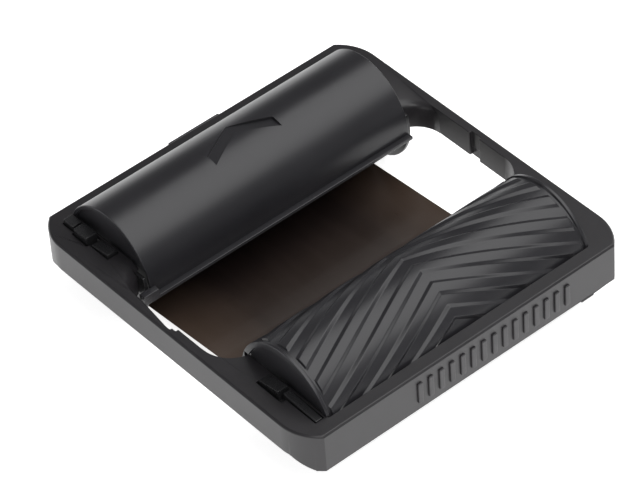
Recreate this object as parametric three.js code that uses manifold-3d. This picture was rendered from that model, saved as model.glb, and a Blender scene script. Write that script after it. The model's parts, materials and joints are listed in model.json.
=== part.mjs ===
// Drop-in thermal-transfer ribbon cartridge for a wide label printer.
// Millimetres, +Z up. X runs along the two spools, the supply spool is on the +Y side and the
// take-up spool on the -Y side. The origin is on the surface that the cartridge stands on, at the
// middle of its outline.
import * as THREE from 'three';
import { mergeVertices } from 'three/addons/utils/BufferGeometryUtils.js';
import Module from 'manifold-3d';

const wasm = await Module();
wasm.setup();

// ---------- overall ----------
const frameWidth = 151.4;        // over the two side walls, along X
const frameDepth = 153.8;        // over the front and back walls, along Y
const deckHeight = 31.3;         // top of the deck above the feet
const deckThick = 2.0;
const skirtWall = 2.0;
const skirtHeight = 17.2;        // front and back walls, from the deck top down
const sideSkirtHeight = 12.7;    // side walls, from the deck top down
const sideReliefRun = 9.0;       // length of the slanted ends of the side walls' lower edge
const cornerRadius = 19.6;
const cornerRun = 15.2;          // how far each corner arc runs along Y before the flat wall cuts it
const topBevel = 0.7;
const merge = 0.5;               // how far an added feature sinks into its wall
const railReach = 38.0;          // the side rails under the window run this far along Y, both ways
const slotRoom = 0.6;            // along Y, round the bearing plates
const lugHalf = 4.0;
const padHalf = 12.0;            // latch pad on the back wall
const padReach = 0.8;
const padDrop = 12.0;            // its lower edge, below the deck top
const gripBars = 15;             // plain bars on the front wall
const gripPitch = 5.0;
const gripHalf = 1.1;
const gripCentre = 10.0;
const gripReach = 0.8;
const gripTopDrop = 4.2;
const gripBottomDrop = 13.6;
const footStart = 52.4;
const footEnd = 58.4;
const footDrop = 1.1;

// ---------- clearances ----------
const seatGap = 0.3;             // between pieces that rest on or clip to each other
const runGap = 0.3;              // between a turning piece and a fixed one

// ---------- opening in the deck ----------
const windowMargin = 9.8;        // from the covers' ends to the window's sides
const windowCornerRadius = 12.9;
const windowSupplyCorner = 20.1; // Y of the corner arc's centre on the supply side
const windowTakeupCorner = 15.7; // the same on the take-up side, towards -Y
const windowWall = 2.4;
const windowWallHeight = 11.3;
const pocketDepth = 2.6;         // sloped recess beside the supply cover
const pocketReach = 4.4;
const pocketEnd = 45.0;          // Y where the recess stops
const notchCentre = 1.0;         // small notch in both side rails
const notchLength = 5.2;
const notchDepth = 1.2;
const notchOpenDrop = 7.6;       // below this depth the right notch goes through the whole rail
const wedgeStart = 19.0;         // the left side's slanted recess, from here
const wedgeEnd = 2.6;            // to here, where it is deepest
const wedgeDepth = 2.1;

// ---------- covers ----------
const coverMargin = 6.8;         // from the ribbon's edges to the covers' ends
const coverWall = 1.6;
const coverRim = 0.8;            // how far the end walls are set in from the rims
const coverEndWall = 1.3;
const coverSteps = 24;           // facets over a cover's half turn
const coverTuck = 1.6;           // how far the covers reach below the deck top
const supplyAxisY = 50.0;
const supplyAxisDrop = 9.3;      // axis below the deck top
const supplyCoverRadius = 23.3;
const lipReach = 2.3;
const lipThick = 1.4;
const lipEarLength = 5.0;
const lipEarHeight = 4.4;
const takeupAxisY = -48.3;
const takeupAxisDrop = 9.2;
const takeupCoverRadius = 24.2;

// ---------- raised chevron bars on the take-up cover ----------
const barCount = 8;
const barFirstAngle = -39.1;     // degrees round the cover from +Y to the first bar's rear edge
const barPitchAngle = 24.9;
const barWidthAngle = 12.45;
const barSlope = 1.13;           // degrees round the cover per millimetre of X
const barMargin = 2.8;           // from the bars' ends to the cover's ends
const barHeight = 0.8;
const rimBandWidth = 1.2;

// ---------- chevron sunk in the supply cover ----------
const arrowHalfWidth = 15.6;
const arrowRise = 8.4;
const arrowBand = 5.4;
const arrowFront = 43.4;         // Y of the arm ends' front corners
const arrowDepth = 1.25;         // its flat floor below the cover's top

// ---------- ribbon, cores and hubs ----------
const ribbonWidth = 110.0;
const filmThick = 0.3;
const coreRadius = 12.3;
const coreBore = 10.3;
const coreMargin = 0.6;          // core beyond the ribbon, at each end
const supplyRollRadius = 20.4;
const takeupRollRadius = 13.1;
const hubPlugLength = 11.0;
const hubFlangeRadius = 15.6;
const hubFlangeThick = 1.3;
const hubCollarRadius = 4.6;
const journalRadius = 3.6;
const journalReach = 1.8;        // journal end beyond the bearing plate
const dogCount = 3;
const dogWidth = 1.6;

// ---------- bearing plates ----------
const plateRadius = 22.3;        // a little over the axis height, so the feet are flat
const plateThick = 1.4;
const plateBossRadius = 6.0;
const plateBossHeight = 1.5;
const flangeReach = 6.6;
const flangeThick = 1.8;
const flangeHalf = 15;
const flangeMargin = 1.6;
const catchThick = 1.8;
const catchGrip = 2.0;

// ---------- spring and felt on the left hubs ----------
const feltRadius = 6.4;
const feltThick = 0.8;
const springRadius = 5.7;
const springWire = 0.6;
const springTurns = 2;

// ---------- derived places ----------
const coverHalfLength = ribbonWidth / 2 + coverMargin;
const barHalfLength = coverHalfLength - barMargin;
const windowHalfWidth = coverHalfLength + windowMargin;
const coreLength = ribbonWidth + 2 * coreMargin;
const halfWidth = frameWidth / 2;
const halfDepth = frameDepth / 2;
const supplyAxis = new THREE.Vector2(supplyAxisY, deckHeight - supplyAxisDrop);
const takeupAxis = new THREE.Vector2(takeupAxisY, deckHeight - takeupAxisDrop);
const coverBack = supplyAxisY + Math.sqrt(supplyCoverRadius ** 2 - supplyAxisDrop ** 2);
const coverFront = takeupAxisY - Math.sqrt(takeupCoverRadius ** 2 - takeupAxisDrop ** 2);
const holeHalfLength = coverHalfLength - coverRim + seatGap;
const plateInner = coverHalfLength + seatGap;
const plateOuter = plateInner + plateThick;
const flangeTop = deckHeight - deckThick - seatGap;
const hubFace = coreLength / 2 + seatGap;
const flangeFace = hubFace + hubFlangeThick;

// ---------- solids ----------
function toSolid(geometry) {
  const plain = geometry.index ? geometry.toNonIndexed() : geometry.clone();
  plain.deleteAttribute('normal');
  plain.deleteAttribute('uv');
  const merged = mergeVertices(plain, 1e-4);
  const mesh = new wasm.Mesh({
    numProp: 3,
    vertProperties: new Float32Array(merged.attributes.position.array),
    triVerts: new Uint32Array(merged.index.array),
  });
  return new wasm.Manifold(mesh);
}

function toGeometry(solid) {
  const mesh = solid.getMesh();
  const geometry = new THREE.BufferGeometry();
  geometry.setAttribute('position', new THREE.BufferAttribute(mesh.vertProperties, 3));
  geometry.setIndex(new THREE.BufferAttribute(mesh.triVerts, 1));
  geometry.computeVertexNormals();
  return geometry;
}

function join(...solids) {
  return solids.reduce((whole, next) => whole.add(next));
}

function block(x0, x1, y0, y1, z0, z1) {
  const geometry = new THREE.BoxGeometry(x1 - x0, y1 - y0, z1 - z0);
  geometry.translate((x0 + x1) / 2, (y0 + y1) / 2, (z0 + z1) / 2);
  return toSolid(geometry);
}

// A plan outline pushed up from z0 to z1.
function pushUp(shape, z0, z1, arcSteps = 16) {
  const options = { depth: z1 - z0, bevelEnabled: false, curveSegments: arcSteps };
  const geometry = new THREE.ExtrudeGeometry(shape, options);
  geometry.translate(0, 0, z0);
  return toSolid(geometry);
}

// A side outline, drawn in Y and Z, pushed along X from x0 to x1.
const alongX = new THREE.Matrix4().makeBasis(
  new THREE.Vector3(0, 1, 0),
  new THREE.Vector3(0, 0, 1),
  new THREE.Vector3(1, 0, 0),
);

function pushAcross(shape, x0, x1, arcSteps = 24) {
  const options = { depth: x1 - x0, bevelEnabled: false, curveSegments: arcSteps };
  const geometry = new THREE.ExtrudeGeometry(shape, options);
  geometry.applyMatrix4(alongX);
  geometry.translate(x0, 0, 0);
  return toSolid(geometry);
}

// A body of revolution about a spool's axis. The profile holds [x, radius] pairs and closes itself.
function turned(profile, axis, steps = 36) {
  const points = profile.map(([x, radius]) => new THREE.Vector2(radius, x));
  points.push(points[0].clone());
  const geometry = new THREE.LatheGeometry(points, steps);
  geometry.rotateZ(-Math.PI / 2);
  geometry.translate(0, axis.x, axis.y);
  const solid = toSolid(geometry);
  return solid;
}

function ring(x0, x1, outer, inner, axis, steps = 36) {
  return turned([[x0, inner], [x0, outer], [x1, outer], [x1, inner]], axis, steps);
}

function disc(x0, x1, radius, axis, steps = 36) {
  const geometry = new THREE.CylinderGeometry(radius, radius, x1 - x0, steps);
  geometry.rotateZ(-Math.PI / 2);
  geometry.translate((x0 + x1) / 2, axis.x, axis.y);
  return toSolid(geometry);
}

// A closed solid through two or more outlines with the same number of points, one above the other.
function stack(layers) {
  const count = layers[0].points.length;
  const positions = [];
  for (const layer of layers) {
    for (const point of layer.points) positions.push(point.x, point.y, layer.z);
  }
  const index = [];
  for (let level = 0; level < layers.length - 1; level += 1) {
    for (let i = 0; i < count; i += 1) {
      const a = level * count + i;
      const b = level * count + (i + 1) % count;
      index.push(a, b, b + count, a, b + count, a + count);
    }
  }
  const lowest = layers[0].points;
  const highest = layers[layers.length - 1].points;
  const top = (layers.length - 1) * count;
  for (const [a, b, c] of THREE.ShapeUtils.triangulateShape(lowest, [])) index.push(a, c, b);
  for (const [a, b, c] of THREE.ShapeUtils.triangulateShape(highest, [])) {
    index.push(top + a, top + b, top + c);
  }
  const geometry = new THREE.BufferGeometry();
  geometry.setAttribute('position', new THREE.Float32BufferAttribute(positions, 3));
  geometry.setIndex(index);
  return toSolid(geometry);
}

// ---------- outlines ----------
// The frame's outline, set in by inset on every side. Flat front and back walls cut the corner arcs.
function frameOutline(inset) {
  const radius = cornerRadius - inset;
  const run = cornerRun - inset;
  const centreX = halfWidth - cornerRadius;
  const centreY = halfDepth - cornerRun;
  const turn = Math.asin(run / radius);
  const shape = new THREE.Shape();
  shape.moveTo(halfWidth - inset, -centreY);
  shape.lineTo(halfWidth - inset, centreY);
  shape.absarc(centreX, centreY, radius, 0, turn);
  shape.absarc(-centreX, centreY, radius, Math.PI - turn, Math.PI);
  shape.absarc(-centreX, -centreY, radius, Math.PI, Math.PI + turn);
  shape.absarc(centreX, -centreY, radius, -turn, 0);
  return shape;
}

// The opening: a wide window between the covers, narrower where the covers sit.
// grow widens it all round, reach moves the supply-side corners towards the supply cover.
function openingOutline(grow, reach) {
  const radius = windowCornerRadius + grow;
  const centreX = windowHalfWidth - windowCornerRadius;
  const hole = holeHalfLength + grow;
  const turn = Math.acos((hole - centreX) / radius);
  const backY = coverBack + seatGap + grow;
  const frontY = coverFront - seatGap - grow;
  const supplyY = windowSupplyCorner + reach;
  const takeupY = -windowTakeupCorner;
  const shape = new THREE.Shape();
  shape.moveTo(centreX + radius, takeupY);
  shape.absarc(centreX, supplyY, radius, 0, turn);
  shape.lineTo(hole, backY);
  shape.lineTo(-hole, backY);
  shape.absarc(-centreX, supplyY, radius, Math.PI - turn, Math.PI);
  shape.absarc(-centreX, takeupY, radius, Math.PI, Math.PI + turn);
  shape.lineTo(-hole, frontY);
  shape.lineTo(hole, frontY);
  shape.absarc(centreX, takeupY, radius, -turn, 0);
  return shape;
}

function ringPoints(shape) {
  const points = shape.getPoints(16);
  const last = points[points.length - 1];
  if (last.distanceTo(points[0]) < 1e-6) points.pop();
  return points;
}

// ---------- frame ----------
function makeFrame() {
  const bottom = deckHeight - skirtHeight;
  const outer = stack([
    { z: bottom, points: ringPoints(frameOutline(0)) },
    { z: deckHeight - topBevel, points: ringPoints(frameOutline(0)) },
    { z: deckHeight, points: ringPoints(frameOutline(topBevel)) },
  ]);
  const hollow = pushUp(frameOutline(skirtWall), bottom - 1, deckHeight - deckThick);
  const rail = pushUp(openingOutline(windowWall, 0), deckHeight - windowWallHeight,
    deckHeight - merge);
  const railSpan = block(-halfWidth + 1, halfWidth - 1, -railReach, railReach, bottom, deckHeight);
  let body = outer.subtract(hollow).add(rail.intersect(railSpan));
  body = body.subtract(pushUp(openingOutline(0, 0), bottom - 2, deckHeight + 2));
  body = body.subtract(pocketCutter()).subtract(sideRelief());
  for (const side of [-1, 1]) {
    for (const [axis, low, high] of plateSlots()) {
      const near = side * (holeHalfLength - 1);
      const far = side * (plateOuter + seatGap);
      const slot = block(Math.min(near, far), Math.max(near, far), low, high, bottom - 2,
        deckHeight - deckThick);
      body = body.subtract(slot).add(catchLug(side, axis));
    }
    const edge = side * windowHalfWidth;
    body = body.subtract(block(edge - notchDepth, edge + notchDepth, notchCentre - notchLength / 2,
      notchCentre + notchLength / 2, bottom - 2, deckHeight + 2));
  }
  body = body.subtract(block(windowHalfWidth - 1, halfWidth - skirtWall, notchCentre - notchLength / 2,
    notchCentre + notchLength / 2, bottom - 2, deckHeight - notchOpenDrop));
  body = body.subtract(leftWedge());
  for (const [low, high, reach] of [...supplyClip.notches, ...takeupClip.notches]) {
    body = body.subtract(block(-(plateInner + reach), -(plateInner + seatGap), low, high,
      deckHeight - deckThick - 1, deckHeight + 2));
  }
  return body.add(backPad()).add(gripPanel()).add(stackingFoot());
}

// The sloped recess on the opening's two supply-side corners.
function pocketCutter() {
  const low = ringPoints(openingOutline(0, 0));
  const high = ringPoints(openingOutline(0, pocketReach));
  const over = high.map((point) => point.clone());
  const pocket = stack([
    { z: deckHeight - pocketDepth, points: low },
    { z: deckHeight, points: high },
    { z: deckHeight + 1, points: over },
  ]);
  return pocket.intersect(block(-halfWidth, halfWidth, 0, pocketEnd, 0, deckHeight + 2));
}

// The slanted recess in the opening's left side.
function leftWedge() {
  const edge = -windowHalfWidth;
  const shape = new THREE.Shape();
  shape.moveTo(edge + 1, wedgeStart);
  shape.lineTo(edge, wedgeStart);
  shape.lineTo(edge - wedgeDepth, wedgeEnd);
  shape.lineTo(edge - wedgeDepth, wedgeEnd - wedgeDepth);
  shape.lineTo(edge + 1, wedgeEnd - wedgeDepth);
  return pushUp(shape, deckHeight - skirtHeight, deckHeight + 1);
}

// Raises the side walls' lower edge between the corners.
function sideRelief() {
  const bottom = deckHeight - skirtHeight;
  const edge = halfDepth - skirtWall - seatGap;
  const shape = new THREE.Shape();
  shape.moveTo(-edge, bottom - 1);
  shape.lineTo(-edge, bottom);
  shape.lineTo(-edge + sideReliefRun, deckHeight - sideSkirtHeight);
  shape.lineTo(edge - sideReliefRun, deckHeight - sideSkirtHeight);
  shape.lineTo(edge, bottom);
  shape.lineTo(edge, bottom - 1);
  return pushAcross(shape, -halfWidth - 1, halfWidth + 1);
}

// Room for the bearing plates: each spool's axis and the span of its plates along Y.
function plateSlots() {
  const room = plateRadius + slotRoom;
  return [
    [supplyAxis, supplyAxis.x - room, supplyAxis.x + room],
    [takeupAxis, takeupAxis.x - room, takeupAxis.x + room],
  ];
}

// A lug inside the side wall that the plate's flange snaps over.
function catchLug(side, axis) {
  const top = flangeTop - flangeThick - seatGap;
  const inner = plateOuter + flangeReach - catchGrip;
  const outer = halfWidth - skirtWall / 2;
  const from = side > 0 ? inner : -outer;
  const to = side > 0 ? outer : -inner;
  return block(from, to, axis.x - lugHalf, axis.x + lugHalf, top - catchThick, top);
}

// A low pad on the back wall, where the printer's latch bears.
function backPad() {
  return block(-padHalf, padHalf, halfDepth - merge, halfDepth + padReach, deckHeight - padDrop,
    deckHeight - topBevel);
}

// A plain ribbed grip panel on the front wall.
function gripPanel() {
  const low = deckHeight - gripBottomDrop;
  const high = deckHeight - gripTopDrop;
  const parts = [];
  for (let i = 0; i < gripBars; i += 1) {
    const x = gripCentre + (i - (gripBars - 1) / 2) * gripPitch;
    parts.push(block(x - gripHalf, x + gripHalf, -halfDepth - gripReach, -halfDepth + merge, low, high));
  }
  return join(...parts);
}

// A small foot under the front wall.
function stackingFoot() {
  const bottom = deckHeight - skirtHeight;
  return block(footStart, footEnd, -halfDepth + 0.1, -halfDepth + skirtWall - 0.1, bottom - footDrop,
    bottom + 1);
}

// ---------- clips on the left bearing plates ----------
// Blocks that stand up through the deck: low and high Y, inner and outer reach from the plate's face,
// and the heights above the deck at the low and high Y ends. Their notches in the deck are low and
// high Y and reach from the plate's face.
const supplyClip = {
  low: 44.0,
  high: 70.0,
  blocks: [
    { low: 44.0, high: 53.6, from: 0.8, to: 5.0, startHeight: 1.6, endHeight: 0.2 },
    { low: 55.2, high: 62.6, from: 1.0, to: 6.0, startHeight: 2.8, endHeight: 2.8 },
    { low: 64.4, high: 70.0, from: 0.8, to: 5.0, startHeight: 1.8, endHeight: 1.8 },
  ],
  notches: [[43.7, 70.3, 5.4], [54.4, 63.4, 6.4]],
};
const takeupClip = {
  low: -70.0,
  high: -40.8,
  blocks: [
    { low: -51.6, high: -40.8, from: 0.8, to: 5.4, startHeight: 2.6, endHeight: 0.4 },
    { low: -69.6, high: -52.2, from: 0.8, to: 3.8, startHeight: 0, endHeight: 1.2 },
  ],
  notches: [[-54.4, -40.5, 6.4], [-69.9, -54, 4.3]],
};

function clipBlock(spec) {
  const base = flangeTop - flangeThick / 2;
  const shape = new THREE.Shape();
  shape.moveTo(spec.low, base);
  shape.lineTo(spec.high, base);
  shape.lineTo(spec.high, deckHeight + spec.endHeight);
  shape.lineTo(spec.low, deckHeight + spec.startHeight);
  return pushAcross(shape, -(plateInner + spec.to), -(plateInner + spec.from));
}

// ---------- bearing plates ----------
function makePlate(side, axis, clip) {
  const bossFace = plateOuter + plateBossHeight;
  const profile = [
    [side * plateInner, 0],
    [side * plateInner, plateRadius],
    [side * plateOuter, plateRadius],
    [side * plateOuter, plateBossRadius],
    [side * bossFace, plateBossRadius],
    [side * bossFace, 0],
  ];
  if (side < 0) profile.reverse();
  let plate = turned(profile, axis, 48);
  plate = plate.intersect(block(-100, 100, axis.x - 30, axis.x + 30, 0, flangeTop));
  const flangeLow = clip ? clip.low - flangeMargin : axis.x - flangeHalf;
  const flangeHigh = clip ? clip.high + flangeMargin : axis.x + flangeHalf;
  const flangeInner = plateInner + plateThick / 2;
  const flangeEnds = [side * flangeInner, side * (plateOuter + flangeReach)].sort((p, q) => p - q);
  plate = plate.add(block(...flangeEnds, flangeLow, flangeHigh,
    flangeTop - flangeThick, flangeTop));
  if (clip) {
    for (const spec of clip.blocks) plate = plate.add(clipBlock(spec));
  }
  return plate.subtract(disc(-100, 100, journalRadius + runGap, axis, 24));
}

// ---------- covers ----------
// A ring sector in Y and Z round a spool's axis, angles in degrees from +Y over the top.
function sector(axis, outer, inner, from, to) {
  const a = THREE.MathUtils.degToRad(from);
  const b = THREE.MathUtils.degToRad(to);
  const shape = new THREE.Shape();
  shape.absarc(axis.x, axis.y, outer, a, b, false);
  if (inner > 0) shape.absarc(axis.x, axis.y, inner, b, a, true);
  else shape.lineTo(axis.x, axis.y);
  return shape;
}

// What the deck leaves no room for under the covers' rims, from Y low to high.
function rimTrim(low, high) {
  const inner = holeHalfLength - seatGap;
  const top = deckHeight + seatGap;
  return join(block(-100, -inner, low, high, 0, top), block(inner, 100, low, high, 0, top));
}

// A cover's two end walls, set in from its rims.
function endWalls(axis, radius, low) {
  const outer = coverHalfLength - coverRim;
  const inner = outer - coverEndWall;
  const ends = pushAcross(sector(axis, radius, 0, 0, 180), -outer, outer, coverSteps);
  const above = block(-100, 100, -100, 100, low, 100);
  return ends.subtract(block(-inner, inner, -100, 100, 0, 100)).intersect(above);
}

function makeSupplyCover() {
  const axis = supplyAxis;
  const low = deckHeight - coverTuck;
  const inner = supplyCoverRadius - coverWall;
  let shell = pushAcross(sector(axis, supplyCoverRadius, inner, 0, 183),
    -coverHalfLength, coverHalfLength, coverSteps);
  shell = shell.add(endWalls(axis, supplyCoverRadius - 0.4, low));
  const behind = block(-100, 100, axis.x, coverBack, low, 100);
  shell = shell.intersect(behind.add(block(-100, 100, -100, axis.x, 0, 100)));
  const deckCross = axis.x - Math.sqrt(supplyCoverRadius ** 2 - supplyAxisDrop ** 2);
  shell = shell.subtract(rimTrim(deckCross + seatGap, 100));
  const lipY = axis.x - supplyCoverRadius;
  const lipLow = axis.y - lipThick;
  shell = shell.add(block(-coverHalfLength, coverHalfLength, lipY - lipReach, lipY + coverWall,
    lipLow, lipLow + lipThick));
  const plateFront = axis.x - plateRadius - seatGap;
  shell = shell.add(block(-coverHalfLength - lipEarLength, -coverHalfLength + 2, lipY - lipReach,
    plateFront, lipLow, lipLow + lipEarHeight));
  return shell.subtract(arrowCutter());
}

// The chevron, sunk in from above down to a flat floor.
function arrowCutter() {
  const shape = new THREE.Shape();
  const tip = arrowFront + arrowRise + arrowBand;
  shape.moveTo(arrowHalfWidth, arrowFront);
  shape.lineTo(arrowHalfWidth, arrowFront + arrowBand);
  shape.lineTo(0, tip);
  shape.lineTo(-arrowHalfWidth, arrowFront + arrowBand);
  shape.lineTo(-arrowHalfWidth, arrowFront);
  shape.lineTo(0, tip - arrowBand);
  const floor = supplyAxis.y + supplyCoverRadius - arrowDepth;
  return pushUp(shape, floor, floor + 5);
}

function makeTakeupCover() {
  const axis = takeupAxis;
  const low = deckHeight - coverTuck;
  const skin = takeupCoverRadius - barHeight;
  let cover = pushAcross(sector(axis, skin, skin - coverWall, 0, 180),
    -coverHalfLength, coverHalfLength, coverSteps);
  cover = cover.add(endWalls(axis, skin - 0.4, low));
  for (const start of [-coverHalfLength, coverHalfLength - rimBandWidth]) {
    cover = cover.add(pushAcross(sector(axis, takeupCoverRadius, skin - 0.5, 0, 180),
      start, start + rimBandWidth, coverSteps));
  }
  for (let i = 0; i < barCount; i += 1) cover = cover.add(chevronBar(barFirstAngle + i * barPitchAngle));
  const tucked = block(-100, 100, coverFront, 0, low, 100);
  const behind = block(-100, 100, axis.x, 0, axis.y, 100);
  const deckCross = axis.x + Math.sqrt(takeupCoverRadius ** 2 - takeupAxisDrop ** 2);
  return cover.intersect(tucked.add(behind)).subtract(rimTrim(-100, deckCross - seatGap));
}

// One raised V bar that follows the cover's curve, its apex at the middle.
function chevronBar(apexAngle) {
  const axis = takeupAxis;
  const base = takeupCoverRadius - barHeight - 0.5;
  const reach = Math.min(barHalfLength, (180 - apexAngle) / barSlope);
  const steps = 5;
  const section = [[0, base], [0, takeupCoverRadius], [0.5, takeupCoverRadius],
    [1, takeupCoverRadius], [1, base], [0.5, base]];
  const positions = [];
  for (let i = -steps; i <= steps; i += 1) {
    const x = reach * i / steps;
    for (const [turn, radius] of section) {
      const angle = THREE.MathUtils.degToRad(apexAngle + Math.abs(x) * barSlope + turn * barWidthAngle);
      positions.push(x, axis.x + radius * Math.cos(angle), axis.y + radius * Math.sin(angle));
    }
  }
  const n = section.length;
  const index = [];
  for (let i = 0; i < 2 * steps; i += 1) {
    for (let k = 0; k < n; k += 1) {
      const a = i * n + k;
      const b = i * n + (k + 1) % n;
      index.push(a, b, b + n, a, b + n, a + n);
    }
  }
  const end = 2 * steps * n;
  for (let k = 1; k < n - 1; k += 1) {
    index.push(0, k + 1, k);
    index.push(end, end + k, end + k + 1);
  }
  const geometry = new THREE.BufferGeometry();
  geometry.setAttribute('position', new THREE.Float32BufferAttribute(positions, 3));
  geometry.setIndex(index);
  return toSolid(geometry);
}

// ---------- spools ----------
function makeHub(side, axis, driven) {
  const journalEnd = plateOuter + plateBossHeight + journalReach;
  const profile = [
    [side * (hubFace - hubPlugLength), 0],
    [side * (hubFace - hubPlugLength), coreBore - seatGap],
    [side * hubFace, coreBore - seatGap],
    [side * hubFace, hubFlangeRadius],
    [side * flangeFace, hubFlangeRadius],
    [side * flangeFace, hubCollarRadius],
    [side * (flangeFace + 0.2), hubCollarRadius],
    [side * (flangeFace + 0.2), journalRadius],
    [side * journalEnd, journalRadius],
    [side * journalEnd, 0],
  ];
  if (side < 0) profile.reverse();
  let hub = turned(profile, axis);
  if (driven) {
    for (let i = 0; i < dogCount; i += 1) hub = hub.subtract(dogSlot(axis, journalEnd, i));
  } else {
    const reliefEnd = side * (hubFace - hubPlugLength);
    const bore = disc(Math.min(reliefEnd - side, side * (hubFace - 2)),
      Math.max(reliefEnd - side, side * (hubFace - 2)), coreBore - 3, axis, 24);
    hub = hub.subtract(bore);
  }
  return hub;
}

// One of the slots across the driven journal's end.
function dogSlot(axis, journalEnd, i) {
  const geometry = new THREE.BoxGeometry(3.2, 2 * journalRadius, dogWidth);
  geometry.translate(journalEnd, journalRadius, 0);
  geometry.rotateX(2 * Math.PI * i / dogCount);
  geometry.translate(0, axis.x, axis.y);
  return toSolid(geometry);
}

// The web runs straight between the two rolls, a small gap off both.
function makeWeb() {
  const line = takeupAxis.clone().sub(supplyAxis);
  const span = line.length();
  const along = line.clone().divideScalar(span);
  const down = new THREE.Vector2(-along.y, along.x);
  const r1 = supplyRollRadius + runGap;
  const r2 = takeupRollRadius + runGap;
  const tilt = Math.asin((r1 - r2) / span);
  const normal = down.multiplyScalar(Math.cos(tilt)).addScaledVector(along, Math.sin(tilt));
  const a = supplyAxis.clone().addScaledVector(normal, r1);
  const b = takeupAxis.clone().addScaledVector(normal, r2);
  const c = takeupAxis.clone().addScaledVector(normal, r2 + filmThick);
  const d = supplyAxis.clone().addScaledVector(normal, r1 + filmThick);
  const shape = new THREE.Shape([a, d, c, b]);
  return pushAcross(shape, -ribbonWidth / 2, ribbonWidth / 2);
}

// A short closed-end compression spring between the felt and the plate.
class Coil extends THREE.Curve {
  constructor(axis, x0, x1) {
    super();
    this.axis = axis;
    this.x0 = x0;
    this.x1 = x1;
  }

  getPoint(t, target = new THREE.Vector3()) {
    const angle = 2 * Math.PI * springTurns * t;
    const x = THREE.MathUtils.lerp(this.x0, this.x1, t);
    const y = this.axis.x + springRadius * Math.cos(angle);
    const z = this.axis.y + springRadius * Math.sin(angle);
    return target.set(x, y, z);
  }
}

function makeSpring(axis) {
  const near = flangeFace + seatGap + feltThick + seatGap + springWire / 2;
  const far = plateInner - seatGap - springWire / 2;
  const section = new THREE.Shape();
  section.absarc(0, 0, springWire / 2, 0, 2 * Math.PI);
  const options = {
    steps: 18 * springTurns,
    curveSegments: 3,
    bevelEnabled: false,
    extrudePath: new Coil(axis, -near, -far),
  };
  return toSolid(new THREE.ExtrudeGeometry(section, options));
}

function makeFelt(axis) {
  const near = flangeFace + seatGap;
  return ring(-near - feltThick, -near, feltRadius, journalRadius + runGap, axis, 24);
}

// ---------- materials ----------
const satinBlack = { color: 0x39393b, roughness: 0.42, metalness: 0 };
const darkMould = { color: 0x1b1b1c, roughness: 0.5, metalness: 0 };
const finishes = {
  frame: satinBlack,
  cover: { color: 0x3c3c3e, roughness: 0.36, metalness: 0 },
  plate: darkMould,
  hub: { color: 0x2a2b2d, roughness: 0.45, metalness: 0 },
  core: { color: 0xb9a583, roughness: 0.85, metalness: 0 },
  roll: { color: 0x0b0a0b, roughness: 0.3, metalness: 0 },
  film: { color: 0x1c1614, roughness: 0.18, metalness: 0 },
  spring: { color: 0xb8babd, roughness: 0.3, metalness: 1 },
  felt: { color: 0x55524c, roughness: 0.95, metalness: 0 },
};

// ---------- assembly ----------
const cartridge = new THREE.Group();

function addPart(name, solid, finish) {
  const material = new THREE.MeshStandardMaterial(finishes[finish]);
  const mesh = new THREE.Mesh(toGeometry(solid), material);
  mesh.name = name;
  cartridge.add(mesh);
}

addPart('frame', makeFrame(), 'frame');
addPart('supply_cover', makeSupplyCover(), 'cover');
addPart('takeup_cover', makeTakeupCover(), 'cover');

const spools = [
  { name: 'supply', axis: supplyAxis, roll: supplyRollRadius, clip: supplyClip },
  { name: 'takeup', axis: takeupAxis, roll: takeupRollRadius, clip: takeupClip },
];
for (const { name, axis, roll, clip } of spools) {
  addPart(`${name}_bearing_plate_left`, makePlate(-1, axis, clip), 'plate');
  addPart(`${name}_bearing_plate_right`, makePlate(1, axis, null), 'plate');
  addPart(`${name}_core`, ring(-coreLength / 2, coreLength / 2, coreRadius, coreBore, axis), 'core');
  addPart(`${name}_ribbon_roll`,
    ring(-ribbonWidth / 2, ribbonWidth / 2, roll, coreRadius + seatGap, axis, 48), 'roll');
  addPart(`${name}_hub_left`, makeHub(-1, axis, false), 'hub');
  addPart(`${name}_hub_right`, makeHub(1, axis, true), 'hub');
  addPart(`${name}_drag_felt`, makeFelt(axis), 'felt');
  addPart(`${name}_drag_spring`, makeSpring(axis), 'spring');
}
addPart('ribbon_web', makeWeb(), 'film');

export default cartridge;
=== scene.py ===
import json
import math

import bpy
from mathutils import Matrix, Vector


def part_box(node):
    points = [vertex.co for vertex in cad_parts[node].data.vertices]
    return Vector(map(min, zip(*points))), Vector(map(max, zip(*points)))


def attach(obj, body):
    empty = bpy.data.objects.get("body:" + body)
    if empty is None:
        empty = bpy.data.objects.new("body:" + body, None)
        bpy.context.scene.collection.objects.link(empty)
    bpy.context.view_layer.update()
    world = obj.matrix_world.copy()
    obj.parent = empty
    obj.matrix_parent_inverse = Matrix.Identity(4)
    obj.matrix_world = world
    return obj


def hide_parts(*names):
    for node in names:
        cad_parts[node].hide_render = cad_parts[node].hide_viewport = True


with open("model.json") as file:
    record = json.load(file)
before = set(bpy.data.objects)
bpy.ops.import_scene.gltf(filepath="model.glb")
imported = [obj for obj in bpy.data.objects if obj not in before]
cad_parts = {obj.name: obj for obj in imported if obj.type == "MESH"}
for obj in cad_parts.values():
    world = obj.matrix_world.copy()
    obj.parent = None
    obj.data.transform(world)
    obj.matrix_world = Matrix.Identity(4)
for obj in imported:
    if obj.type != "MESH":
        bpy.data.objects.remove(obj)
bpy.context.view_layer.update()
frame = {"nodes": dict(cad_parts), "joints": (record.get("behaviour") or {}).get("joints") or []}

mm = 0.001
hair = 0.001 * mm           # points nearer than this are one point

# places that the frame gives
joints = {joint["name"]: joint for joint in frame["joints"]}
supplyAxis = Vector(joints["supply_spin"]["pos_m"])
takeupAxis = Vector(joints["takeup_spin"]["pos_m"])
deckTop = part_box("frame")[1].z
print("frame loaded, deck top at %.1f mm" % (deckTop / mm))


# ---- working with objects and meshes ----
def workOn(obj):
    bpy.ops.object.select_all(action="DESELECT")
    obj.select_set(True)
    bpy.context.view_layer.objects.active = obj


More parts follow.
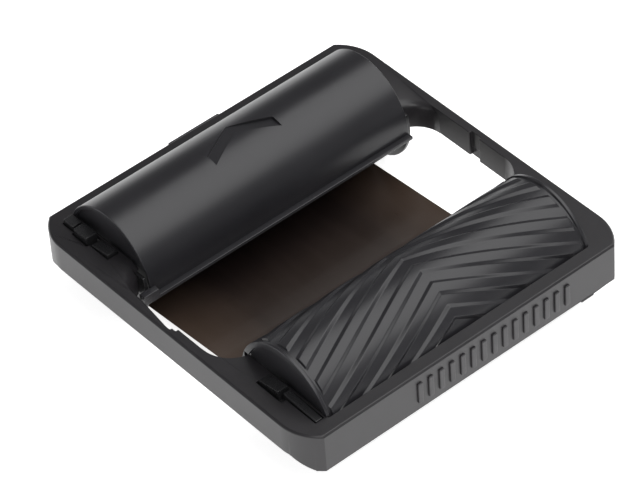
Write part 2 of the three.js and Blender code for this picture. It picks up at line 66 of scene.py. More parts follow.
def pickFaces(obj, test):
    # leaves the object in edit mode with only the faces that pass the test selected
    workOn(obj)
    mesh = obj.data
    mesh.vertices.foreach_set("select", [False] * len(mesh.vertices))
    mesh.edges.foreach_set("select", [False] * len(mesh.edges))
    mesh.polygons.foreach_set("select", [bool(test(p.center, p.normal)) for p in mesh.polygons])
    bpy.ops.object.mode_set(mode="EDIT")
    bpy.ops.mesh.select_mode(type="FACE")


def leaveEdit():
    bpy.ops.object.mode_set(mode="OBJECT")


def everyFace(centre, facing):
    return True


def cutFaces(obj, point, normal, test=everyFace):
    pickFaces(obj, test)
    bpy.ops.mesh.bisect(plane_co=point, plane_no=normal, threshold=hair / 10)
    leaveEdit()


def cutAway(obj, point, normal):
    # drops what lies on the side that the normal points to, and closes the cut
    pickFaces(obj, everyFace)
    bpy.ops.mesh.bisect(plane_co=point, plane_no=normal, threshold=hair / 10, clear_outer=True, use_fill=True)
    leaveEdit()


def applyPlace(obj):
    workOn(obj)
    bpy.ops.object.transform_apply(location=True, rotation=True, scale=True)
    return obj


def applyModifier(obj, kind, settings):
    workOn(obj)
    modifier = obj.modifiers.new(kind.lower(), kind)
    for key, value in settings.items():
        setattr(modifier, key, value)
    bpy.ops.object.modifier_apply(modifier=modifier.name)


def roundEdges(obj, width, angle=40, segments=3):
    applyModifier(obj, "BEVEL", {
        "width": width,
        "segments": segments,
        "limit_method": "ANGLE",
        "angle_limit": math.radians(angle),
        "use_clamp_overlap": False,
        "miter_outer": "MITER_ARC",
    })


def merge(obj):
    pickFaces(obj, everyFace)
    bpy.ops.mesh.remove_doubles(threshold=hair)
    leaveEdit()


def combine(obj, other, operation="UNION"):
    applyModifier(obj, "BOOLEAN", {"operation": operation, "object": other, "solver": "EXACT"})
    bpy.data.objects.remove(other)


def smooth(obj, angle=38):
    # where edges were rounded, the flat faces beside them decide the shading
    workOn(obj)
    bpy.ops.object.shade_smooth_by_angle(angle=math.radians(angle))
    applyModifier(obj, "WEIGHTED_NORMAL", {"keep_sharp": True, "weight": 60, "use_face_influence": True})


def addBlock(name, low, high, rounding=0.0):
    bpy.ops.object.select_all(action="DESELECT")
    low = Vector(low)
    high = Vector(high)
    bpy.ops.mesh.primitive_cube_add(size=1, location=(low + high) / 2, scale=high - low)
    obj = bpy.context.active_object
    obj.name = name
    applyPlace(obj)
    if rounding:
        roundEdges(obj, rounding)
    return obj


def copied(node):
    # a copy of a CAD node with its loose triangles merged
    source = frame["nodes"][node]
    obj = source.copy()
    obj.data = source.data.copy()
    obj.name = node + "_finished"
    obj.parent = None
    for key in [key for key in obj.keys() if key.startswith("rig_")]:
        del obj[key]
    bpy.context.scene.collection.objects.link(obj)
    merge(obj)
    return obj


finishing = {
    "flatWithin": 0.6,      # degrees, faces that are one flat face
    "sharpFrom": 35,        # degrees, edges that are rounded
    "shortest": 2.2,        # times the rounding, edges that are long enough to round
}


def roundSharp(obj, width, leave):
    # rounds the sharp edges, but for the very short ones and those in a place that leave() names
    workOn(obj)
    bpy.ops.object.mode_set(mode="EDIT")
    bpy.ops.mesh.select_mode(type="EDGE")
    bpy.ops.mesh.select_all(action="DESELECT")
    bpy.ops.mesh.edges_select_sharp(sharpness=math.radians(finishing["sharpFrom"]))
    leaveEdit()
    points = [vertex.co for vertex in obj.data.vertices]
    for edge in obj.data.edges:
        start, end = (points[i] for i in edge.vertices)
        if (end - start).length < finishing["shortest"] * width or leave((start + end) / 2):
            edge.select = False
    bpy.ops.object.mode_set(mode="EDIT")
    bpy.ops.mesh.bevel(offset=width, segments=2, clamp_overlap=False, miter_outer="ARC", loop_slide=False,
                       face_strength_mode="ALL")
    leaveEdit()


def refined(obj, rounding, leave=lambda middle: False):
    # flat faces joined and cut into even triangles again, then edges rounded
    pickFaces(obj, everyFace)
    bpy.ops.mesh.dissolve_limited(angle_limit=math.radians(finishing["flatWithin"]), delimit=set())
    bpy.ops.mesh.quads_convert_to_tris(quad_method="BEAUTY", ngon_method="BEAUTY")
    leaveEdit()
    roundSharp(obj, rounding, leave)
    smooth(obj)
    return obj


def place(obj, body, slot, material, *nodes):
    obj.data.materials.clear()
    obj.data.materials.append(material)
    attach(obj, body)
    if nodes:
        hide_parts(*nodes)
    return obj


# ---- shader maths ----
class Signal:
    def __init__(self, tree, socket=None):
        self.tree = tree
        self.socket = socket

    def make(self, kind, settings=None, values=None, output=0):
        node = self.tree.nodes.new(kind)
        for key, value in (settings or {}).items():
            if key == "stops":
                ramp = node.color_ramp.elements
                while len(ramp) < len(value):
                    ramp.new(0.5)
                for element, (position, colour) in zip(ramp, value):
                    element.position = position
                    element.color = colour
            else:
                setattr(node, key, value)
        for key, value in (values or {}).items():
            if isinstance(value, Signal):
                self.tree.links.new(value.socket, node.inputs[key])
            else:
                node.inputs[key].default_value = value
        return Signal(self.tree, node.outputs[output])

    def other(self, output):
        return Signal(self.tree, self.socket.node.outputs[output])

    def maths(self, operation, first, second):
        return self.make("ShaderNodeMath", {"operation": operation}, {0: first, 1: second})

    def __add__(self, other):
        return self.maths("ADD", self, other)

    def __radd__(self, other):
        return self.maths("ADD", other, self)

    def __sub__(self, other):
        return self.maths("SUBTRACT", self, other)

    def __rsub__(self, other):
        return self.maths("SUBTRACT", other, self)

    def __mul__(self, other):
        return self.maths("MULTIPLY", self, other)

    def __rmul__(self, other):
        return self.maths("MULTIPLY", other, self)

    def __pow__(self, other):
        return self.maths("POWER", self, other)


def newFinish(name, constants):
    material = bpy.data.materials.new(name)
    material.use_nodes = True
    tree = material.node_tree
    shader = tree.nodes["Principled BSDF"]
    for key, value in constants.items():
        shader.inputs[key].default_value = value
    return material, Signal(tree), shader


def feed(shader, socket, signal):
    signal.tree.links.new(signal.socket, shader.inputs[socket])


def noise(start, where, scale, detail=2.0, roughness=0.5):
    values = {"Vector": where, "Scale": scale, "Detail": detail, "Roughness": roughness}
    return start.make("ShaderNodeTexNoise", None, values)


def stretch(start, where, scale):
    return start.make("ShaderNodeMapping", None, {"Vector": where, "Scale": scale})


def blendColours(start, amount, first, second):
    return start.make("ShaderNodeMix", {"data_type": "RGBA"}, {0: amount, 6: first, 7: second}, 2)


def spread(start, value, low, high):
    # takes a value from low..high to 0..1, held at both ends
    values = {"Value": value, "From Min": low, "From Max": high}
    return start.make("ShaderNodeMapRange", {"clamp": True}, values)


def bump(start, height, strength, distance):
    values = {"Strength": strength, "Distance": distance, "Height": height}
    return start.make("ShaderNodeBump", None, values)


# Moulded black plastic: fine sparked grain, faint flow clouds, edges rubbed a little paler, hair scratches.
plastics = {
    "frame": {
        "colour": (0.0112, 0.0105, 0.0118, 1),
        "wear_and_painted_light": (0.031, 0.0285, 0.0315, 1),
        "roughness": 0.36,
        "grain": 2600.0,
        "grainStrength": 0.2,
        "scratch": 0.05,
    },
    "cover": {
        "colour": (0.0125, 0.0122, 0.0142, 1),
        "wear_and_painted_light": (0.03, 0.029, 0.033, 1),
        "roughness": 0.33,
        "grain": 3400.0,
        "grainStrength": 0.1,
        "scratch": 0.1,
    },
    "plate": {
        "colour": (0.01, 0.01, 0.0105, 1),
        "wear_and_painted_light": (0.028, 0.028, 0.03, 1),
        "roughness": 0.3,
        "grain": 2600.0,
        "grainStrength": 0.2,
        "scratch": 0.05,
    },
    "hub": {
        "colour": (0.03, 0.031, 0.033, 1),
        "wear_and_painted_light": (0.075, 0.076, 0.08, 1),
        "roughness": 0.4,
        "grain": 2200.0,
        "grainStrength": 0.15,
        "scratch": 0.05,
    },
}


def mouldedPlastic(kind):
    look = plastics[kind]
    material, start, shader = newFinish(kind + "_plastic", {"IOR": 1.5, "Specular IOR Level": 0.5})
    where = start.make("ShaderNodeTexCoord", output="Object")
    sparks = noise(start, where, look["grain"], 3.0, 0.6)
    clouds = noise(start, where, 34.0, 4.0, 0.6)
    hairs = noise(start, stretch(start, where, (220.0, 2600.0, 900.0)), 1.0, 2.0)
    crossHairs = noise(start, stretch(start, where, (2400.0, 160.0, 900.0)), 1.0, 2.0)
    scratches = spread(start, hairs, 0.66, 0.74) + spread(start, crossHairs, 0.67, 0.75)
    edge = spread(start, start.make("ShaderNodeNewGeometry", output="Pointiness"), 0.52, 0.62)
    rub = edge * spread(start, noise(start, where, 160.0, 3.0), 0.3, 0.7)
    tone = clouds * 0.5 + rub * 0.55 + sparks * 0.15
    feed(shader, "Base Color", blendColours(start, tone, look["colour"], look["wear_and_painted_light"]))
    feed(shader, "Roughness", look["roughness"] + (clouds - 0.5) * 0.1 + (sparks - 0.5) * 0.12 - rub * 0.08)
    height = sparks * 0.7 - scratches * look["scratch"]
    feed(shader, "Normal", bump(start, height, look["grainStrength"], 0.06 * mm))
    return material


framePlastic = mouldedPlastic("frame")
coverPlastic = mouldedPlastic("cover")
platePlastic = mouldedPlastic("plate")
hubPlastic = mouldedPlastic("hub")


# Ink ribbon: near black, brown where it is thin, with long tension ripples and a dusting of fine specks. On
# top of that, a paler brown sheen is painted at both ends, and painted shade keeps the supply side dark while
# the take-up side is painted paler.
film = {
    "ink": (0.007, 0.0045, 0.0045, 1),
    "thin": (0.018, 0.012, 0.0105, 1),
    # painted sheen: the paler brown laid on the film's two ends and on its take-up side
    "edge": (0.085, 0.057, 0.041, 1),
    "roughness": 0.26,
    "edgeFrom": 36 * mm,    # from the middle line
    "edgeTo": 64 * mm,
}


def ribbonFilm(name):
    material, start, shader = newFinish(name, {"IOR": 1.55, "Coat Roughness": 0.06, "Coat IOR": 1.45})
    where = start.make("ShaderNodeTexCoord", output="Object")
    ripples = noise(start, stretch(start, where, (260.0, 16.0, 30.0)), 1.0, 3.0, 0.45)
    clouds = noise(start, where, 26.0, 4.0, 0.6)
    specks = spread(start, noise(start, where, 5200.0, 2.0), 0.68, 0.76)
    amount = spread(start, clouds * 0.6 + ripples * 0.4, 0.3, 0.75)
    parts = start.make("ShaderNodeSeparateXYZ", None, {"Vector": where})
    across = start.maths("ABSOLUTE", parts, 0.0)
    edges = spread(start, across + clouds * 0.012, film["edgeFrom"], film["edgeTo"])
    # painted sheen at both ends plus painted shade: dark on the supply side under the cover's lip, paler
    # toward the take-up side
    wear_and_painted_light = edges * 0.6 + spread(start, parts.other(1), 0.03, -0.03) * 0.5
    inked = blendColours(start, amount, film["ink"], film["thin"])
    feed(shader, "Base Color", blendColours(start, wear_and_painted_light, inked, film["edge"]))
    feed(shader, "Roughness", film["roughness"] + amount * 0.1 + specks * 0.2)
    feed(shader, "Coat Weight", 0.25 + clouds * 0.3)
    feed(shader, "Normal", bump(start, ripples * 0.8 + specks * 0.05, 0.16, 0.4 * mm))
    return material


webFilm = ribbonFilm("ribbon_web_film")


# The wound roll: the same ink film, with the layers' edges as fine rings round the spool's axis.
def woundFilm(name, axis):
    material, start, shader = newFinish(name, {"IOR": 1.55, "Specular IOR Level": 0.5})
    where = start.make("ShaderNodeTexCoord", output="Object")
    parts = start.make("ShaderNodeSeparateXYZ", None, {"Vector": where})
    side = parts.other(1) - axis.y
    up = parts.other(2) - axis.z
    radius = (side * side + up * up) ** 0.5
    lineNoise = {"noise_dimensions": "1D"}
    rings = start.make("ShaderNodeTexNoise", lineNoise, {"W": radius * 9000.0, "Scale": 1.0, "Detail": 3.0})
    bands = start.make("ShaderNodeTexNoise", lineNoise, {"W": radius * 900.0, "Scale": 1.0})
    tone = rings * 0.6 + bands * 0.4
    feed(shader, "Base Color", blendColours(start, tone, (0.006, 0.005, 0.005, 1), (0.035, 0.028, 0.026, 1)))
    feed(shader, "Roughness", 0.22 + bands * 0.22)
    feed(shader, "Normal", bump(start, rings + bands, 0.3, 0.08 * mm))
    return material


# Wound paperboard: pale brown fibres with the spiral seams of its plies.
def paperBoard(name, axis):
    material, start, shader = newFinish(name, {"Specular IOR Level": 0.25})
    where = start.make("ShaderNodeTexCoord", output="Object")
    centred = start.make("ShaderNodeMapping", {"vector_type": "POINT"},
                         {"Vector": where, "Location": (0.0, -axis.y, -axis.z)})
    along = start.make("ShaderNodeSeparateXYZ", None, {"Vector": centred})
    turn = start.maths("ARCTAN2", along.other(2), along.other(1))
    plies = start.maths("PINGPONG", along * 55.0 + turn * (0.5 / math.pi), 0.5)
    seam = spread(start, plies, 0.03, 0.0)
    fibres = noise(start, stretch(start, where, (1800.0, 600.0, 600.0)), 1.0, 4.0, 0.7)
    stains = noise(start, where, 90.0, 3.0)
    tone = fibres * 0.6 + stains * 0.4
    board = blendColours(start, tone, (0.20, 0.135, 0.075, 1), (0.50, 0.385, 0.25, 1))
    feed(shader, "Base Color", blendColours(start, seam * 0.6, board, (0.12, 0.08, 0.045, 1)))
    feed(shader, "Roughness", 0.72 + fibres * 0.2)
    feed(shader, "Normal", bump(start, fibres - seam * 0.8, 0.4, 0.12 * mm))
    return material


def pressedFelt(name):
    material, start, shader = newFinish(name, {"Specular IOR Level": 0.1, "Sheen Weight": 0.4})
    where = start.make("ShaderNodeTexCoord", output="Object")
    matted = noise(start, where, 1500.0, 6.0, 0.75)
    tufts = noise(start, where, 420.0, 3.0)
    tone = matted * 0.6 + tufts * 0.4
    feed(shader, "Base Color", blendColours(start, tone, (0.055, 0.05, 0.045, 1), (0.24, 0.22, 0.2, 1)))
    feed(shader, "Roughness", 0.86 + matted * 0.1)
    feed(shader, "Normal", bump(start, tone, 0.7, 0.2 * mm))
    return material


def springSteel(name):
    material, start, shader = newFinish(name, {"Metallic": 1.0})
    where = start.make("ShaderNodeTexCoord", output="Object")
    drawn = noise(start, where, 1800.0, 3.0)
    oil = noise(start, where, 240.0, 2.0)
    feed(shader, "Base Color", blendColours(start, oil, (0.36, 0.365, 0.38, 1), (0.62, 0.62, 0.63, 1)))
    feed(shader, "Roughness", 0.2 + drawn * 0.2)
    feed(shader, "Normal", bump(start, drawn, 0.15, 0.04 * mm))
    return material


feltPad = pressedFelt("felt")
springWireFinish = springSteel("spring_steel")
print("finishes made")


# ---- curved covers: a flat panel is cut, raised and rounded, then bent round the spool's axis ----
coverWalls = {
    "wall": 1.6 * mm,
    "rim": 0.8 * mm,
    "endWall": 1.3 * mm,
    "endInset": 0.4 * mm,   # the end wall's rim below the cover's outer face
    "endSides": 144,
    "seatGap": 0.3 * mm,
    "tuck": 1.6 * mm,       # below the deck
    "step": 2.4,            # degrees between cross cuts
    "trimReach": 10 * mm,   # past the cover's ends
    "trimFar": 100 * mm,    # past its front or back
}


def flatPanel(name, settings, fromAngle, toAngle):
    # stands in X and Z with its outer face at Y = 0; Z falls as the angle round the axis grows
    arc = settings["radius"] * math.radians(toAngle - fromAngle)
    half = settings["halfLength"]
    return addBlock(name, (-half, 0, -arc / 2), (half, settings["wall"], arc / 2))


def heightOf(angle, settings, fromAngle, toAngle):
    return settings["radius"] * math.radians((fromAngle + toAngle) / 2 - angle)


def bendRound(obj, axis, settings, fromAngle, toAngle):
    # cross cuts every few degrees let the panel follow the curve
    arc = settings["radius"] * math.radians(toAngle - fromAngle)
    cuts = int((toAngle - fromAngle) / settings["step"])
    for i in range(1, cuts):
        cutFaces(obj, (0, 0, arc * (i / cuts - 0.5)), (0, 0, 1))
    span = [vertex.co.z for vertex in obj.data.vertices]
    bend = (max(span) - min(span)) / settings["radius"]
    applyModifier(obj, "SIMPLE_DEFORM", {"deform_method": "BEND", "deform_axis": "X", "angle": bend})
    turn = math.radians((fromAngle + toAngle) / 2) - math.pi
    obj.rotation_euler = (turn, 0, 0)
    reach = settings["radius"]
    obj.location = (0, axis.y - reach * math.cos(turn), axis.z - reach * math.sin(turn))
    return applyPlace(obj)


def endWall(name, axis, settings, side, low):
    thick = settings["endWall"]
    x = side * (settings["halfLength"] - settings["rim"] - thick / 2)
    bpy.ops.object.select_all(action="DESELECT")
    bpy.ops.mesh.primitive_cylinder_add(vertices=settings["endSides"], depth=thick,
                                        radius=settings["radius"] - settings["endInset"],
                                        location=(x, axis.y, axis.z), rotation=(0, math.pi / 2, 0))
    obj = bpy.context.active_object
    obj.name = name
    applyPlace(obj)
    cutAway(obj, (0, 0, low), (0, 0, -1))
    return obj


def trimRims(obj, settings, yLow, yHigh):
    # the rims stand on the deck, a seating gap above it
    inner = settings["halfLength"] - settings["rim"]
    outer = settings["halfLength"] + settings["trimReach"]
    top = deckTop + settings["seatGap"]
    for side in (-1, 1):
        xs = sorted((side * inner, side * outer))
        block = addBlock("trim", (xs[0], yLow, 0), (xs[1], yHigh, top))
        combine(obj, block, "DIFFERENCE")


takeup = {
    **coverWalls,
    "outer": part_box("takeup_cover")[1].z - takeupAxis.z,
    "halfLength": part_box("takeup_cover")[1].x,
    "barHeight": 0.8 * mm,
    "rimBand": 1.2 * mm,
    "bars": 8,
    "firstAngle": -39.1,
    "pitch": 24.9,
    "flanks": (-2.4, 0.8, 9.6, 12.8),    # degrees: foot, crest, crest and foot of each bar
    "slope": 1.13,          # degrees per millimetre along X
    "barHalf": 59.0 * mm,
    "endSlope": 0.3 * mm,
    "rounding": 0.22 * mm,
    "sharpFrom": 18,        # degrees
}


def makeTakeupCover():
    s = takeup
    s["radius"] = s["outer"] - s["barHeight"]
    low = deckTop - s["tuck"]
    toAngle = 180 - math.degrees(math.asin((low - takeupAxis.z) / s["radius"]))
    band = s["halfLength"] - s["rimBand"]
    panel = flatPanel("takeup_cover_shell", s, 0, toAngle)
    cutFaces(panel, (0, 0, 0), (1, 0, 0))
    for side in (-1, 1):
        for x in (s["barHalf"], s["barHalf"] + s["endSlope"], band - s["endSlope"], band):
            cutFaces(panel, (side * x, 0, 0), (1, 0, 0))
        tilt = (side * s["radius"] * math.radians(s["slope"]) / mm, 0, 1)
        for i in range(s["bars"]):
            for edge in s["flanks"]:
                z = heightOf(s["firstAngle"] + i * s["pitch"] + edge, s, 0, toAngle)
                cutFaces(panel, (0, 0, z), tilt,
                         lambda centre, facing: 0 < centre.x * side < s["barHalf"] + s["endSlope"])

    def raised(centre, facing):
        if facing.y > -0.9:    # only the outer face is raised
            return False
        if abs(centre.x) > band:
            return True
        angle = toAngle / 2 - math.degrees(centre.z / s["radius"])
        along = (angle - s["slope"] * abs(centre.x) / mm - s["firstAngle"]) % s["pitch"]
        return abs(centre.x) < s["barHalf"] and s["flanks"][1] < along < s["flanks"][2]

    # the crests are pulled out and their flanks follow
    pickFaces(panel, raised)
    bpy.ops.transform.translate(value=(0, -s["barHeight"], 0))
    leaveEdit()
    roundEdges(panel, s["rounding"], s["sharpFrom"], 2)
    cover = bendRound(panel, takeupAxis, s, 0, toAngle)
    for side in (-1, 1):
        combine(cover, endWall("end", takeupAxis, s, side, low))
    crossing = takeupAxis.y + math.sqrt(s["outer"] ** 2 - (deckTop - takeupAxis.z) ** 2)
    trimRims(cover, s, -s["trimFar"], crossing - s["seatGap"])
    smooth(cover)
    return cover


supply = {
    **coverWalls,
    "radius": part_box("supply_cover")[1].z - supplyAxis.z,
    "halfLength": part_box("supply_cover")[1].x,
    "toAngle": 183.0,
    "arrowHalf": 15.6 * mm,
    "arrowBack": 57.2 * mm,    # Y of the chevron's tip
    "arrowRise": 8.4 * mm,
    "arrowBand": 5.4 * mm,
    "arrowDepth": 1.25 * mm,   # flat floor below the top
    "arrowCut": 5.0 * mm,      # height of the cutting block
    "armOverlap": 0.02 * mm,
    "lipReach": 2.3 * mm,
    "lipThick": 1.4 * mm,
    "lipRoot": 0.8,            # share of the wall that the lip goes into
    "lipRounding": 0.3 * mm,
    "lipEar": 5.0 * mm,
    "lipEarHeight": 4.4 * mm,
    "lipEarRoot": 2.0 * mm,
    "rounding": 0.28 * mm,
    "sharpFrom": 50,        # degrees
}


def chevronArm(side):
    # a block over one arm, cut along the arm's two slanted edges
    s = supply
    floor = supplyAxis.z + s["radius"] - s["arrowDepth"]
    xs = sorted((-side * s["armOverlap"], side * s["arrowHalf"]))
    tip = s["arrowBack"]
    low = tip - s["arrowBand"] - s["arrowRise"]
    arm = addBlock("chevron_arm", (xs[0], low, floor), (xs[1], tip, floor + s["arrowCut"]))
    slope = side * s["arrowRise"] / s["arrowHalf"]
    cutAway(arm, (0, tip, 0), (slope, 1, 0))
    cutAway(arm, (0, tip - s["arrowBand"], 0), (-slope, -1, 0))
    return arm


def makeSupplyCover():
    s = supply
    low = deckTop - s["tuck"]
    fromAngle = math.degrees(math.asin((low - supplyAxis.z) / s["radius"]))
    panel = flatPanel("supply_cover_shell", s, fromAngle, s["toAngle"])
    roundEdges(panel, s["rounding"], s["sharpFrom"])
    cover = bendRound(panel, supplyAxis, s, fromAngle, s["toAngle"])
    for side in (-1, 1):
        combine(cover, endWall("end", supplyAxis, s, side, low))
    crossing = supplyAxis.y - math.sqrt(s["radius"] ** 2 - (deckTop - supplyAxis.z) ** 2)
    trimRims(cover, s, crossing + s["seatGap"], s["trimFar"])
    half = s["halfLength"]
    front = supplyAxis.y - s["radius"]
    lipLow = supplyAxis.z - s["lipThick"]
    lip = addBlock("lip", (-half, front - s["lipReach"], lipLow),
                   (half, front + s["lipRoot"] * s["wall"], lipLow + s["lipThick"]), s["lipRounding"])
    combine(cover, lip)
    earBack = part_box("supply_bearing_plate_left")[0].y - s["seatGap"]
    ear = addBlock("ear", (-half - s["lipEar"], front - s["lipReach"], lipLow),
                   (-half + s["lipEarRoot"], earBack, lipLow + s["lipEarHeight"]), s["lipRounding"])
    combine(cover, ear)
    chevron = chevronArm(-1)
    combine(chevron, chevronArm(1))
    combine(cover, chevron, "DIFFERENCE")
    smooth(cover)
    return cover


place(makeTakeupCover(), "body", "cover_plastic", coverPlastic, "takeup_cover")
print("take-up cover made")
place(makeSupplyCover(), "body", "cover_plastic", coverPlastic, "supply_cover")
print("supply cover made")

# ---- frame ----
frameParts = {
    "rounding": 0.22 * mm,
    "sharpPlaces": (            # half width and Y from, to, where thin points keep their sharp edges
        (60.0 * mm, 19.0 * mm, 38.0 * mm),       # the sloped pockets' ends
        (68.0 * mm, -23.0 * mm, -12.0 * mm),     # the window's front corners
    ),
    "gripReach": 0.8 * mm,
    "gripSlack": 0.01 * mm,
    "gripSink": 0.4 * mm,
    "gripBars": 15,
    "gripPitch": 5.0 * mm,
    "gripHalf": 1.1 * mm,
    "gripCentre": 10.0 * mm,
    "gripTop": 4.2 * mm,        # below the deck
    "gripBottom": 13.6 * mm,
    "gripRounding": 0.35 * mm,
}


def makeFrame():
    # the grip bars are taken off the wall first and made again with round edges
    s = frameParts
    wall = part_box("frame")[0].y + s["gripReach"]
    obj = copied("frame")
    pickFaces(obj, lambda centre, facing: centre.y < wall - s["gripSlack"])
    bpy.ops.mesh.delete(type="FACE")
    bpy.ops.mesh.select_all(action="SELECT")
    bpy.ops.mesh.fill_holes(sides=0)
    leaveEdit()
    places = s["sharpPlaces"]
    return refined(obj, s["rounding"],
                   leave=lambda p: any(abs(p.x) > side and low < p.y < high for side, low, high in places))


def makeGripBars():
    s = frameParts
    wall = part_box("frame")[0].y + s["gripReach"]
    bars = []
    for i in range(s["gripBars"]):
        x = s["gripCentre"] + (i - (s["gripBars"] - 1) / 2) * s["gripPitch"]
        low = (x - s["gripHalf"], wall - s["gripReach"], deckTop - s["gripBottom"])
        high = (x + s["gripHalf"], wall + s["gripSink"], deckTop - s["gripTop"])
        bars.append(addBlock("front_grip_bars", low, high, s["gripRounding"]))
    bpy.ops.object.select_all(action="DESELECT")
    for bar in bars:
        bar.select_set(True)
    bpy.context.view_layer.objects.active = bars[0]
    bpy.ops.object.join()
    smooth(bars[0])
    return bars[0]


place(makeFrame(), "body", "frame_plastic", framePlastic, "frame")
place(makeGripBars(), "body", "frame_plastic", framePlastic)
print("frame finished")

# ---- plates, cores, hubs and felts ----
roundings = {"plate": 0.22 * mm, "hub": 0.2 * mm, "core": 0.15 * mm, "felt": 0.12 * mm}

for spool, axis in (("supply", supplyAxis), ("takeup", takeupAxis)):
    body = spool + "_spool"
    for side in ("left", "right"):
        plate = spool + "_bearing_plate_" + side
        place(refined(copied(plate), roundings["plate"]), "body", "plate_plastic", platePlastic, plate)
        hub = spool + "_hub_" + side
        place(refined(copied(hub), roundings["hub"]), body, "hub_plastic", hubPlastic, hub)
    core = spool + "_core"
    board = paperBoard(core + "_board", axis)
    place(refined(copied(core), roundings["core"]), body, "core_board", board, core)
    felt = spool + "_drag_felt"
    place(refined(copied(felt), roundings["felt"]), "body", "felt", feltPad, felt)
print("plates, cores, hubs and felts finished")

# ---- wound rolls ----
roll = {
    "steps": 144,
    "layers": 14,
    "unevenness": 0.12 * mm,
    "waves": 17.0,          # of the winding's uneven ends, from core to outside
    "edge": 0.2 * mm,
    "fit": 0.05 * mm,       # round the core
    "sharpFrom": 25,        # degrees
}


def makeRoll(node, axis):
    low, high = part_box(node)
    outer = (high.z - low.z) / 2
    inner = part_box(node.replace("ribbon_roll", "core"))[1].z - axis.z + roll["fit"]
    count = roll["layers"]
    profile = []
    for side in (-1, 1):
        for i in range(count + 1):
            share = i / count if side < 0 else 1 - i / count
            radius = inner + (outer - inner) * share
            wobble = roll["unevenness"] * (0.5 + 0.5 * math.sin(roll["waves"] * share + 2.0 * side))
            x = side * (high.x - wobble - (roll["edge"] if share in (0, 1) else 0))
            profile.append((x, axis.y, axis.z + radius - (roll["edge"] / 2 if share == 1 else 0)))
    mesh = bpy.data.meshes.new(node + "_wound")
    edges = [(i, (i + 1) % len(profile)) for i in range(len(profile))]
    mesh.from_pydata(profile, edges, [])
    obj = bpy.data.objects.new(node + "_wound", mesh)
    bpy.context.scene.collection.objects.link(obj)
    workOn(obj)
    bpy.ops.object.mode_set(mode="EDIT")
    bpy.ops.mesh.select_mode(type="VERT")
    bpy.ops.mesh.select_all(action="SELECT")
    bpy.ops.mesh.spin(steps=roll["steps"], angle=2 * math.pi, center=axis, axis=(1, 0, 0))
    bpy.ops.mesh.select_all(action="SELECT")
    bpy.ops.mesh.remove_doubles(threshold=hair)
    bpy.ops.mesh.normals_make_consistent(inside=False)
    leaveEdit()
    smooth(obj, roll["sharpFrom"])
    return obj


for spool, axis in (("supply", supplyAxis), ("takeup", takeupAxis)):
    node = spool + "_ribbon_roll"
    place(makeRoll(node, axis), spool + "_spool", "ribbon", woundFilm(node + "_film", axis), node)

# ---- ribbon web: one thin sheet, tangent to both rolls ----
web = {"thick": 0.12 * mm, "across": 96, "along": 120, "ripple": 0.22 * mm, "rippleLength": 30 * mm}


def makeWeb():
    low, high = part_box("ribbon_web")
    supplyRadius = (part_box("supply_ribbon_roll")[1].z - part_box("supply_ribbon_roll")[0].z) / 2
    takeupRadius = (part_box("takeup_ribbon_roll")[1].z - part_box("takeup_ribbon_roll")[0].z) / 2
    line = takeupAxis - supplyAxis
    span = math.hypot(line.y, line.z)
    pitch = math.atan2(line.z, -line.y)
    lean = math.asin((supplyRadius - takeupRadius) / span)
    angle = pitch + lean
    down = Vector((0, -math.sin(angle), -math.cos(angle)))
    start = supplyAxis + down * supplyRadius
    end = takeupAxis + down * takeupRadius
    bpy.ops.object.select_all(action="DESELECT")
    bpy.ops.mesh.primitive_grid_add(x_subdivisions=web["across"], y_subdivisions=web["along"], size=1)
    obj = bpy.context.active_object
    obj.name = "ribbon_web_film"
    obj.scale = (high.x - low.x, (end - start).length, 1)
    obj.rotation_euler = (math.atan2(end.z - start.z, end.y - start.y) + math.pi, 0, 0)
    obj.location = (start + end) / 2
    applyPlace(obj)
    clouds = bpy.data.textures.new("web_ripple", "CLOUDS")
    clouds.noise_scale = web["rippleLength"]
    clouds.noise_depth = 1
    applyModifier(obj, "DISPLACE", {"texture": clouds, "strength": web["ripple"], "mid_level": 0.5,
                                    "texture_coords": "LOCAL"})
    applyModifier(obj, "SOLIDIFY", {"thickness": web["thick"], "offset": 0})
    smooth(obj)
    return obj


place(makeWeb(), "body", "ribbon", webFilm, "ribbon_web")
print("rolls and web made")

# ---- drag springs ----
spring = {
    "wire": 0.6 * mm,
    "radius": 5.7 * mm,
    "turns": 3.5,
    "deadTurn": 1.0,        # at each end
    "steps": 40,            # to one turn
    "wireSteps": 5,
    "sharpFrom": 50,        # degrees
}


def makeSpring(node, axis):
    low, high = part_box(node)
    count = int(spring["turns"] * spring["steps"])
    curve = bpy.data.curves.new(node + "_coil", "CURVE")
    curve.dimensions = "3D"
    curve.bevel_depth = spring["wire"] / 2
    curve.bevel_resolution = spring["wireSteps"]
    curve.use_fill_caps = True
    line = curve.splines.new("POLY")
    line.points.add(count)
    first = low.x + spring["wire"] / 2
    last = high.x - spring["wire"] / 2
    dead = spring["deadTurn"]
    free = spring["turns"] - 2 * dead
    rise = last - first - 2 * dead * spring["wire"]
    for i in range(count + 1):
        turn = i / spring["steps"]
        share = min(max((turn - dead) / free, 0), 1)
        # the end turns climb by one wire each, and the free turns between them by the rest
        climb = min(turn, dead) + min(max(turn - dead - free, 0), dead)
        x = first + climb * spring["wire"] + share * rise
        angle = 2 * math.pi * turn
        y = axis.y + spring["radius"] * math.cos(angle)
        z = axis.z + spring["radius"] * math.sin(angle)
        line.points[i].co = (x, y, z, 1)
    obj = bpy.data.objects.new(node + "_coil", curve)
    bpy.context.scene.collection.objects.link(obj)
    workOn(obj)
    bpy.ops.object.convert(target="MESH")
    obj = bpy.context.active_object
    merge(obj)
    smooth(obj, spring["sharpFrom"])
    return obj


for spool, axis in (("supply", supplyAxis), ("takeup", takeupAxis)):
    node = spool + "_drag_spring"
    place(makeSpring(node, axis), "body", "spring_steel", springWireFinish, node)
print("springs wound")


# ---- floor, light and camera ----
studio = {
    "floorSize": 8.0,
    "floorDrop": 0.2 * mm,
    "floorGlow": 0.8,
    "worldColour": (0.98, 0.98, 1, 1),
    "worldStrength": 0.16,
}

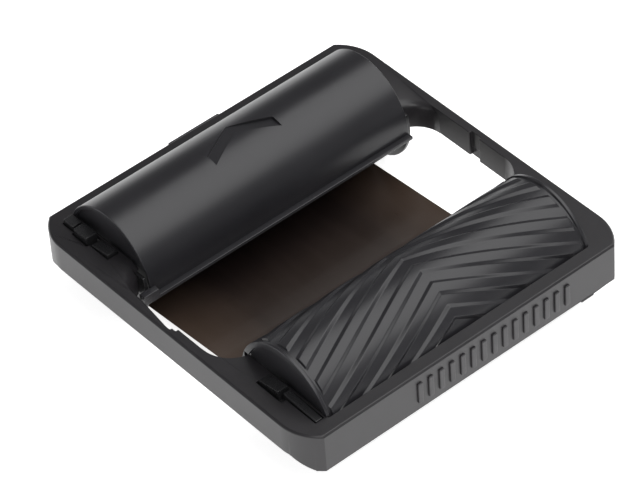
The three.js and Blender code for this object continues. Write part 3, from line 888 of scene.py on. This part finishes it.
# each light's place, what it points at, its size in metres and its power in watts
lights = {
    "overhead_soft": ((0.25, -0.24, 0.8), (0, 0, 0.02), (1.5, 0.8), 8.7),
    "back_low": ((0.5, 1.3, 0.08), (0.1, 0, 0.03), (2.4, 0.2), 1.6),
    "left_low": ((-1.3, 0.3, 0.2), (0, 0, 0.03), (2.0, 0.4), 2.6),
    "right_low": ((1.4, -0.4, 0.2), (0, 0, 0.03), (2.0, 0.4), 2.6),
    "front_left_soft": ((-0.78, -0.72, 0.95), (0, 0, 0.03), (0.4, 0.4), 2.6),
}

view = {
    "azimuth": -37.47,      # degrees
    "elevation": 43.55,
    "roll": -4.5,
    "lens": 231.1,
    "place": (-0.64385, -0.82884, 1.02051),
}


def makeFloor():
    bpy.ops.object.select_all(action="DESELECT")
    bpy.ops.mesh.primitive_plane_add(size=studio["floorSize"], location=(0, 0, -studio["floorDrop"]))
    floor = bpy.context.active_object
    floor.name = "floor"
    material, start, shader = newFinish("floor_white", {
        "Roughness": 0.75,
        "Emission Color": (1, 1, 1, 1),
        "Emission Strength": studio["floorGlow"],
    })
    where = start.make("ShaderNodeTexCoord", output="Object")
    shade = noise(start, where, 3.0)
    feed(shader, "Base Color", blendColours(start, shade, (0.86, 0.86, 0.86, 1), (0.9, 0.9, 0.9, 1)))
    floor.data.materials.append(material)


def addLight(name, spot, target, size, power):
    light = bpy.data.lights.new(name, "AREA")
    light.shape = "RECTANGLE"
    light.size, light.size_y = size
    light.energy = power
    obj = bpy.data.objects.new(name, light)
    obj.location = spot
    toward = Vector(target) - Vector(spot)
    obj.rotation_euler = toward.to_track_quat("-Z", "Y").to_euler()
    bpy.context.scene.collection.objects.link(obj)


def addCamera():
    azimuth = math.radians(view["azimuth"])
    elevation = math.radians(view["elevation"])
    roll = math.radians(view["roll"])
    back = Vector((math.sin(azimuth) * math.cos(elevation), -math.cos(azimuth) * math.cos(elevation),
                   math.sin(elevation)))
    level = Vector((math.cos(azimuth), math.sin(azimuth), 0))
    upright = back.cross(level)
    across = level * math.cos(roll) + upright * math.sin(roll)
    up = upright * math.cos(roll) - level * math.sin(roll)
    camera = bpy.data.cameras.new("camera")
    camera.lens = view["lens"]
    camera.sensor_width = 36
    camera.clip_start = 50 * mm
    obj = bpy.data.objects.new("camera", camera)
    bpy.context.scene.collection.objects.link(obj)
    rows = [[across[i], up[i], back[i]] for i in range(3)]
    obj.matrix_world = Matrix(rows).to_4x4()
    obj.location = view["place"]
    bpy.context.scene.camera = obj


def setWorld():
    world = bpy.data.worlds.new("studio")
    world.use_nodes = True
    background = world.node_tree.nodes["Background"]
    background.inputs["Color"].default_value = studio["worldColour"]
    background.inputs["Strength"].default_value = studio["worldStrength"]
    bpy.context.scene.world = world


makeFloor()
for name, values in lights.items():
    addLight(name, *values)
setWorld()
addCamera()
bpy.context.scene.view_settings.view_transform = "Standard"
print("studio set")
